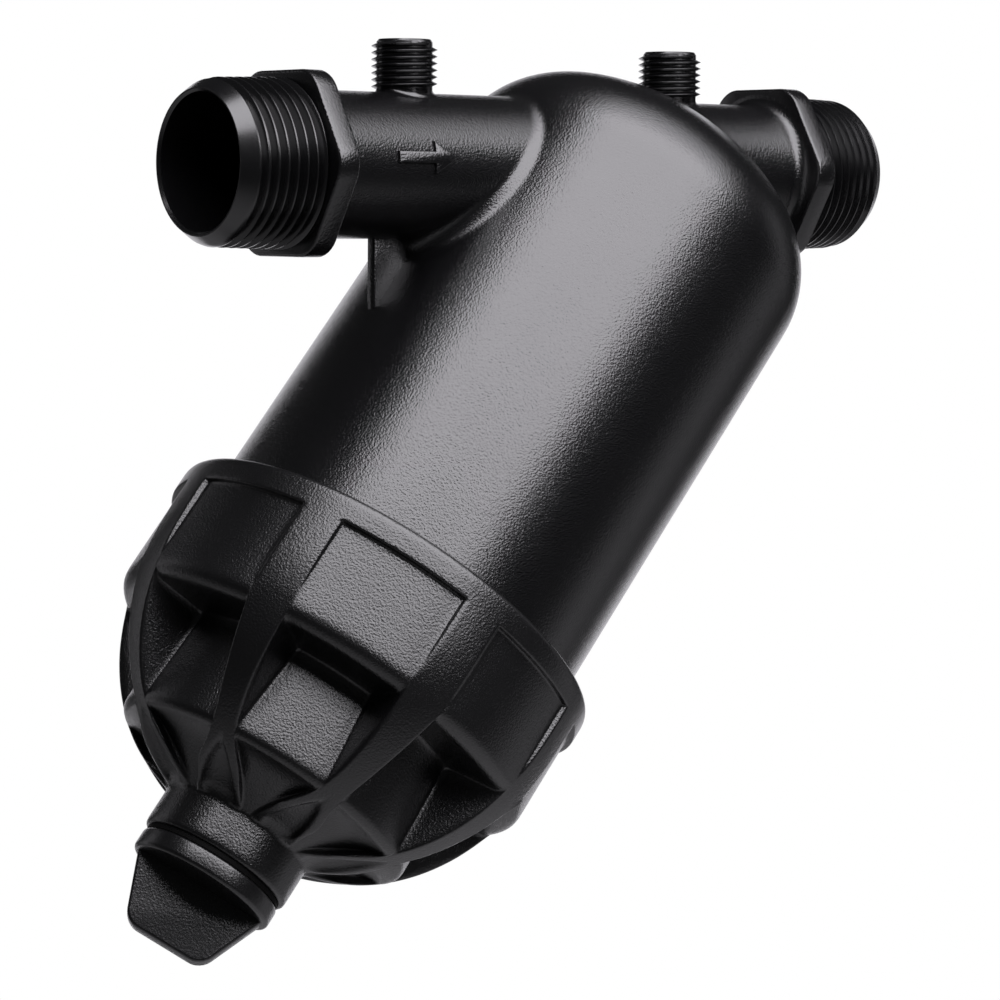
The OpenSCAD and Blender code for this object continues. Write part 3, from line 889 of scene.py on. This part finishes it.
chord = math.hypot(float(bulge_r(POCKET_TOP)) - NECK_R, NECK_LEVEL - POCKET_TOP)
arch = (chord ** 2 + POCKET_HALF ** 2) / (2 * POCKET_HALF)


def pocket_half(reach):
    """Half the width of the pointed pocket, at a distance from the neck along its chord."""
    return POCKET_HALF - arch + np.sqrt(arch ** 2 - np.minimum(reach, chord) ** 2)


print("a pocket is", round(chord, 1), "mm long")

# %% [markdown]
# ## Cover: the columns
# Half a rib and half a bay are set out in columns, from the rib's middle over the pocket, the rib's
# edge and its side wall to the middle of the bay. Subdivision rounds whatever lies between two
# points, so close pairs of columns hold the edges.

# %% Cover: columns across a rib and half a bay
EDGE = 0.36
POCKET_EDGE = 0.2
MOST_OF_PITCH = 0.86
MOST_HOLD = 0.33
LOW_WALL = 0.8
BAY_SHARES = (0, 0.12, 0.3, 0.55, 0.78, 1.0)
HALF_COLUMNS = 12
half_pitch = math.pi / RIB_COUNT


def sideways(across, radius, level):
    """A point beside the rib's middle plane, as (radial, tangential, level)."""
    return np.stack([np.sqrt(np.maximum(radius ** 2 - across ** 2, 0)), across, level], axis=-1)


def fitted_half(section):
    """Half the rib's width along a section, kept clear of the next rib."""
    most = MOST_OF_PITCH * section[:, 0] * math.sin(half_pitch) - EDGE
    return np.minimum(rib_half(section[:, 1]), most)


half = np.zeros((HALF_COLUMNS + 1, len(bay_section), 3))
top, base = rib_section, bay_section
top_half, base_half = fitted_half(top), fitted_half(base)
fall = base - top
wall = np.linalg.norm(fall, axis=1)
hold = np.minimum(EDGE / np.maximum(wall, 1e-6), MOST_HOLD)[:, None]
flat = np.clip(1 - wall / LOW_WALL, 0, 1) * EDGE * 0.4
reach = np.hypot(top[:, 0] - NECK_R, NECK_LEVEL - top[:, 1])
row = np.arange(len(top))
on_rib = (row >= start_bay) & (row < last) & (reach < chord)
pocket = np.where(on_rib, pocket_half(reach), 0)
sink = POCKET_DEPTH + chord ** 2 / (2 * BULGE_R) * (reach / chord) * (1 - reach / chord)
inward = -np.stack([top[:, 0] - COVER_R + BULGE_R, top[:, 1] - BULGE_LEVEL], axis=1) / BULGE_R
for column, across in enumerate([
    0 * top_half,
    np.maximum(pocket - POCKET_EDGE, 0.2 * top_half),
    np.maximum(pocket + POCKET_EDGE, 0.45 * top_half),
    np.maximum(top_half - 3 * EDGE, np.maximum(pocket + 0.5, 0.7 * top_half)),
    top_half - EDGE,
]):
    inside_pocket = np.clip((pocket - across) / POCKET_EDGE, 0, 1) * sink
    spot = top + inside_pocket[:, None] * inward
    half[column] = sideways(across, spot[:, 0], spot[:, 1])
for column, spot, across in (
    (5, top + hold * fall, top_half - flat),
    (6, base - hold * fall, base_half + flat),
):
    half[column] = sideways(across, spot[:, 0], spot[:, 1])
beside = np.arcsin((base_half + EDGE) / base[:, 0])
for column, share in enumerate(BAY_SHARES, start=7):
    angle = beside + (half_pitch - beside) * share
    x, y = base[:, 0] * np.cos(angle), base[:, 0] * np.sin(angle)
    half[column] = np.stack([x, y, base[:, 1]], axis=-1)
print("half a bay has", HALF_COLUMNS, "columns")

# %% [markdown]
# ## Cover: wrapping the grid
# Each rib and bay is the half just set out, followed by its mirror image, and the whole repeats
# eight times round the axis. The last column meets the first and the last row the first, so merging
# them closes the skin. One level of subdivision then gives the soft edges of a moulding.

# %% Cover: wrap the grid round the axis
def cover_point(column, row):
    """A point of the cover, upright on Z."""
    turn, place = np.divmod(column, 2 * HALF_COLUMNS)
    mirrored = place > HALF_COLUMNS
    spot = half[np.where(mirrored, 2 * HALF_COLUMNS - place, place), row]
    side = np.where(mirrored, -1, 1) * spot[:, 1]
    angle = np.radians(RIB_TURN) + 2 * half_pitch * (turn + mirrored)
    x = spot[:, 0] * np.cos(angle) - side * np.sin(angle)
    y = spot[:, 0] * np.sin(angle) + side * np.cos(angle)
    return np.stack([x, y, spot[:, 2]], axis=1)


columns = 2 * HALF_COLUMNS * RIB_COUNT
cover = shaped_grid("cover_moulding", columns, len(bay_section) - 1, cover_point)
finish_modifier(cover, "SUBSURF", levels=1, render_levels=1)
lay(cover, on_body_axis)
smooth(cover, 60)
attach(cover, "cover")
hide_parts("cover")
count(cover)

# %% [markdown]
# ## Drain plug: flange and shank
# The plug closes the drain. Its flange presses the seal onto the neck, and comes off the lathe with
# eased edges. Its shank is a rod with the same thread helper as the pipe ends, with a short lead
# cone, and a turned tool hollows it: a thick plastic rod would sink in as it cools.

# %% Flange and shank
SHANK_R = 12.95
SHANK_ROOT_R = 11.9
SHANK_WALL = 2.8
SHANK_LENGTH = 11
SHANK_PITCH = 1.814
SHANK_LEAD = 0.3
HOLLOW_R = SHANK_R - SHANK_WALL
HOLLOW_END = SHANK_LENGTH - 0.5
FLANGE_R = 15.1
FLANGE_THICK = 4.1
FLANGE_EASE = 0.7
FLANGE_ROUND = 0.9
flange = lathe("flange", (
    [(0, -0.5), (SHANK_R - 1, -0.5), (SHANK_R - 1, 0), (FLANGE_R - 0.8, 0)]
    + arc((FLANGE_R - FLANGE_EASE, FLANGE_EASE), FLANGE_EASE, -70, 0, 4)
    + arc((FLANGE_R - FLANGE_ROUND, FLANGE_THICK - FLANGE_ROUND), FLANGE_ROUND, 0, 90, 6)
    + [(FLANGE_R - 2.2, FLANGE_THICK), (0, FLANGE_THICK)]
))
shank = thread("shank", SHANK_ROOT_R, SHANK_R, SHANK_PITCH, SHANK_LENGTH,
               crest_round=0.12, root_flat=0.3)
trim_crests(shank, lambda height: min(SHANK_R, SHANK_ROOT_R - SHANK_LEAD + height))
combine(shank, "DIFFERENCE", lathe("hollow", [
    (0, -1), (HOLLOW_R, -1), (HOLLOW_R, HOLLOW_END), (0, HOLLOW_END)], 64))
lay(shank, Matrix.Translation((0, 0, -SHANK_LENGTH * MM)))
count(flange)
count(shank)

# %% [markdown]
# ## Drain plug: the wing
# Finger and thumb turn the plug by a flat wing that stands across the flange. A cube is narrowed at
# its far end. Its two far corners get a wide bevel and the rest of its edges a fine one, apart from
# those that vanish in the flange. Flange, shank and wing then become one moulding on the body's
# axis.

# %% Wing, and the plug as one moulding
FLANGE_LEVEL = 178.4
WING_ROOT = 28.6
WING_END = 17
WING_LENGTH = 13.2
WING_THICK = 4.4
WING_SUNK = 1
WING_CORNER = 2.6
WING_EDGE = 0.55
WING_TURN = 40.4
bpy.ops.mesh.primitive_cube_add(size=2)
wing = bpy.context.object
wing.name = "wing"
for vertex in wing.data.vertices:
    side, face, end = vertex.co
    width = WING_END if end > 0 else WING_ROOT
    height = FLANGE_THICK + (WING_LENGTH if end > 0 else -WING_SUNK)
    vertex.co = (side * width / 2 * MM, face * WING_THICK / 2 * MM, height * MM)
pick_edges(wing, lambda a, b: abs(a.y - b.y) > WING_THICK / 2 and a.z > FLANGE_THICK + 1)
bpy.ops.mesh.bevel(offset=WING_CORNER * MM, segments=6, profile=0.5)
leave_edit()
pick_edges(wing, lambda a, b: abs(a.y - b.y) < SAME and max(a.z, b.z) > FLANGE_THICK)
bpy.ops.mesh.bevel(offset=WING_EDGE * MM, segments=4, profile=0.5)
leave_edit()
lay(wing, Matrix.Rotation(math.radians(WING_TURN), 4, "Z"))
plug = join("plug_moulding", [flange, shank, wing])
lay(plug, on_body_axis @ Matrix.Translation((0, 0, FLANGE_LEVEL * MM)))
smooth(plug)
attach(plug, "drain_plug")
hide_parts("drain_plug")
count(plug)

# %% [markdown]
# ## Materials
# The mouldings are black glass-filled plastic. The mould was spark-eroded, so broad faces carry a
# fine leathery grain. Two noises on object coordinates give it: a fine one lifts the surface
# through Bump and tints it a little, and a broad one varies the gloss, as flow in the mould does.
# Black plastic shows its form almost only by what it mirrors, so its colour is very dark and the
# gloss does the work.

# %% A moulded finish
FLOW_MARKS = 9


def add_node(tree, kind, **values):
    """A new shader node, with constants for its named inputs."""
    node = tree.nodes.new("ShaderNode" + kind)
    for socket, value in values.items():
        node.inputs[socket].default_value = value
    return node


def moulded(name, colour, gloss, grain, depth, tint=0.25, shine=1.0):
    """A plastic with its grain and depth in millimetres, and gloss as (smoothest, roughest)."""
    material = bpy.data.materials.new(name)
    material.use_nodes = True
    tree, links = material.node_tree, material.node_tree.links
    shader = tree.nodes["Principled BSDF"]
    shader.inputs["Specular IOR Level"].default_value = shine
    where = add_node(tree, "TexCoord")
    fine = add_node(tree, "TexNoise", Scale=1 / (grain * MM), Detail=1)
    broad = add_node(tree, "TexNoise", Scale=1 / (FLOW_MARKS * MM), Detail=3)
    bump = add_node(tree, "Bump", Strength=1.0, Distance=depth * MM)
    rough = add_node(tree, "MapRange", **{"To Min": gloss[0], "To Max": gloss[1]})
    shade = add_node(tree, "Mix")
    shade.data_type = "RGBA"
    shade.inputs["A"].default_value = (*[c * (1 - tint) for c in colour], 1)
    shade.inputs["B"].default_value = (*[c * (1 + tint) for c in colour], 1)
    links.new(where.outputs["Object"], fine.inputs["Vector"])
    links.new(where.outputs["Object"], broad.inputs["Vector"])
    links.new(fine.outputs["Fac"], bump.inputs["Height"])
    links.new(broad.outputs["Fac"], rough.inputs["Value"])
    links.new(fine.outputs["Fac"], shade.inputs["Factor"])
    links.new(shade.outputs["Result"], shader.inputs["Base Color"])
    links.new(rough.outputs["Result"], shader.inputs["Roughness"])
    links.new(bump.outputs["Normal"], shader.inputs["Normal"])
    return material


BLACK = (0.003, 0.003, 0.0034)
RUBBER = (0.002, 0.002, 0.002)
GREY = (0.05, 0.05, 0.053)
RED = (0.30, 0.025, 0.02)
body_black = moulded("body_black", BLACK, gloss=(0.21, 0.26), grain=0.42, depth=0.075)
cover_black = moulded("cover_black", BLACK, gloss=(0.26, 0.33), grain=0.42, depth=0.085)
smooth_black = moulded("smooth_black", BLACK, gloss=(0.20, 0.27), grain=0.4, depth=0.006)
plug_black = moulded("plug_black", BLACK, gloss=(0.26, 0.33), grain=0.42, depth=0.05)
seal_black = moulded("seal_black", RUBBER, gloss=(0.6, 0.75), grain=0.6, depth=0.01, shine=0.1)
core_grey = moulded("core_grey", GREY, gloss=(0.4, 0.5), grain=0.5, depth=0.01)
disc_red = moulded("disc_red", RED, gloss=(0.35, 0.5), grain=0.35, depth=0.03)
print("materials:", [material.name for material in bpy.data.materials])

# %% [markdown]
# ## Dressing the pieces
# The body, the cover and the plug have the grain, each a little different, as they come from
# different moulds. The threads are smooth, but the hexagons on the same object are grained like the
# body, so their faces are found by place and take a second material. The pieces inside take theirs
# by the slot that the record gives them: rubber for the seals, grey plastic for the core and a dark
# red for the discs.

# %% Dress the pieces
def dress(piece, material):
    """Gives a piece one material."""
    piece.data.materials.clear()
    piece.data.materials.append(material)


def on_hexagon(face):
    """Whether a face of the threads belongs to one of the two hexagons."""
    from_end = min(face.center.x, PIPE_LENGTH * MM - face.center.x)
    beyond_crests = math.hypot(face.center.y, face.center.z) > (END_CREST_R + 0.2) * MM
    return HEX_START * MM - MERGE < from_end < (HEX_INSIDE + 0.1) * MM and beyond_crests


dress(housing, body_black)
dress(threads, smooth_black)
dress(cover, cover_black)
dress(plug, plug_black)
threads.data.materials.append(body_black)
for face in threads.data.polygons:
    face.material_index = int(on_hexagon(face))
slot_finish = {"seal_rubber": seal_black, "core_plastic": core_grey, "disc_plastic": disc_red}
slot_of = {part["node"]: part["material_slot"] for part in frame["record"]["subparts"]}
for node, piece in frame["nodes"].items():
    dress(piece, slot_finish.get(slot_of[node], body_black))
print("hexagon faces:", sum(face.material_index for face in threads.data.polygons))

# %% [markdown]
# ## Studio: floor and world
# The filter floats on plain white, well above a pale floor, so it can be looked at from below too.
# Floor and world are white to the camera through Light Path, and to rays that pass through glass,
# so the white costs no light on the object. A photographer would hang black flags round such a
# black object, or the white room would wash it out in its own gloss. So mirrored rays see only a
# small share of that white, and other rays the plain paper.

# %% Floor and world
FLOOR_DROP = 0.6
FLOOR_SIZE = 12
FLAGGED_SHARE = 0.02
bpy.ops.mesh.primitive_plane_add(size=FLOOR_SIZE, location=(0, 0, cad_box[0][2] - FLOOR_DROP))
floor = bpy.context.object
floor.name = "studio_floor"
bpy.ops.object.transform_apply(location=True, rotation=True, scale=True)


def white_to_camera(tree, plain, output, emitter):
    """Shows white to camera and transmission rays, and a share of it to glossy rays."""
    path = add_node(tree, "LightPath")
    seen = add_node(tree, "Math")
    seen.operation = "MAXIMUM"
    mirrored = add_node(tree, "Math")
    mirrored.operation = "MULTIPLY_ADD"
    mirrored.inputs[1].default_value = FLAGGED_SHARE
    white = add_node(tree, emitter, Color=(1, 1, 1, 1), Strength=1)
    mix = add_node(tree, "MixShader")
    tree.links.new(path.outputs["Is Camera Ray"], seen.inputs[0])
    tree.links.new(path.outputs["Is Transmission Ray"], seen.inputs[1])
    tree.links.new(path.outputs["Is Glossy Ray"], mirrored.inputs[0])
    tree.links.new(seen.outputs[0], mirrored.inputs[2])
    tree.links.new(mirrored.outputs[0], mix.inputs["Fac"])
    tree.links.new(plain.outputs[0], mix.inputs[1])
    tree.links.new(white.outputs[0], mix.inputs[2])
    tree.links.new(mix.outputs[0], output.inputs["Surface"])


paper = bpy.data.materials.new("studio_paper")
paper.use_nodes = True
paper_nodes = paper.node_tree.nodes
paper_shader = paper_nodes["Principled BSDF"]
paper_shader.inputs["Base Color"].default_value = (0.6, 0.6, 0.6, 1)
paper_shader.inputs["Roughness"].default_value = 0.9
white_to_camera(paper.node_tree, paper_shader, paper_nodes["Material Output"], "Emission")
dress(floor, paper)
world = bpy.data.worlds.new("studio")
bpy.context.scene.world = world
world.use_nodes = True
world_nodes = world.node_tree.nodes
sky = world_nodes["Background"]
sky.inputs["Color"].default_value = (0.9, 0.92, 1, 1)
sky.inputs["Strength"].default_value = 0.01
white_to_camera(world.node_tree, sky, world_nodes["World Output"], "Background")
print("floor at", round(floor.data.vertices[0].co.z, 3), "m")

# %% [markdown]
# ## Studio: the camera
# The camera was found by fitting the outlines of the pipe, the body and the cover to the picture.
# It stands low, to the left of the inlet, with a long lens, and leans by half a degree. The lamps
# below use the camera's axes too.

# %% Camera
CAMERA_AT = Vector((-371.2, -541.8, -8.9)) * MM
AZIMUTH, ELEVATION, ROLL = (math.radians(angle) for angle in (-39.483, 4.804, 0.548))
LENS = 123.46
SENSOR = 36
backward = Vector((
    math.sin(AZIMUTH) * math.cos(ELEVATION), -math.cos(AZIMUTH) * math.cos(ELEVATION),
    math.sin(ELEVATION)))
right = (-backward).cross(Vector((0, 0, 1))).normalized()
upward = right.cross(-backward)
rolled_right = right * math.cos(ROLL) + upward * math.sin(ROLL)
rolled_up = upward * math.cos(ROLL) - right * math.sin(ROLL)
camera_axes = Matrix((rolled_right, rolled_up, backward)).transposed()
bpy.ops.object.camera_add(location=CAMERA_AT)
camera = bpy.context.object
camera.rotation_euler = camera_axes.to_euler()
camera.data.lens = LENS
camera.data.sensor_width = SENSOR
camera.data.clip_start = 0.01
bpy.context.scene.camera = camera
print("camera at", [round(v, 3) for v in camera.location])

# %% [markdown]
# ## Studio: the lights
# One wide soft box up and to the right makes the long bright band on the body. A weaker panel above
# it lets the band fade slowly towards the dome. A strip on each side draws a thin line along the
# dark edges, and a glow behind the filter gives the ribs crisp edges and makes the back readable.

# %% Lights
AIM = Vector((0.06, 0, -0.06))
LAMP_COLOUR = (0.97, 0.95, 1)
KEY_DIRECTION = (0.30, 0.68, 0.67)
KEY_ALONG = (0.88, -0.47, 0.1)


def soft_box(name, direction, along, distance, size, power, lift=0.0):
    """An area lamp that faces the filter, with directions as (right, up, towards the camera)."""
    outward = (camera_axes @ Vector(direction)).normalized()
    wide = camera_axes @ Vector(along)
    wide = (wide - outward * wide.dot(outward)).normalized()
    tall = outward.cross(wide)
    bpy.ops.object.light_add(type="AREA")
    lamp = bpy.context.object
    lamp.name = name
    lamp.data.shape = "RECTANGLE"
    lamp.data.size, lamp.data.size_y = size
    lamp.data.energy = power
    lamp.data.color = LAMP_COLOUR
    lamp.matrix_world = Matrix.LocRotScale(
        AIM + outward * distance + tall * lift, Matrix((wide, tall, outward)).transposed(), None)


soft_box("key", KEY_DIRECTION, KEY_ALONG, distance=0.7, size=(1.14, 0.67), power=11.2, lift=0.125)
soft_box("overhead", KEY_DIRECTION, KEY_ALONG, distance=0.7, size=(1.14, 0.46), power=3.2,
         lift=0.69)
soft_box("left_edge", (-0.9, 0.1, -0.45), (0, 1, 0), distance=0.9, size=(0.9, 0.3), power=0.35)
soft_box("right_edge", (0.92, -0.1, -0.45), (0, 1, 0), distance=0.9, size=(0.9, 0.3), power=0.2)
soft_box("backdrop_glow", (0, 0, -1), (1, 0, 0), distance=0.9, size=(0.9, 0.9), power=2.9)

# %% [markdown]
# ## The view
# The view transform is set to Standard. The modelled pieces may not grow past the CAD
# model.

# %% View transform
bpy.context.scene.view_settings.view_transform = "Standard"
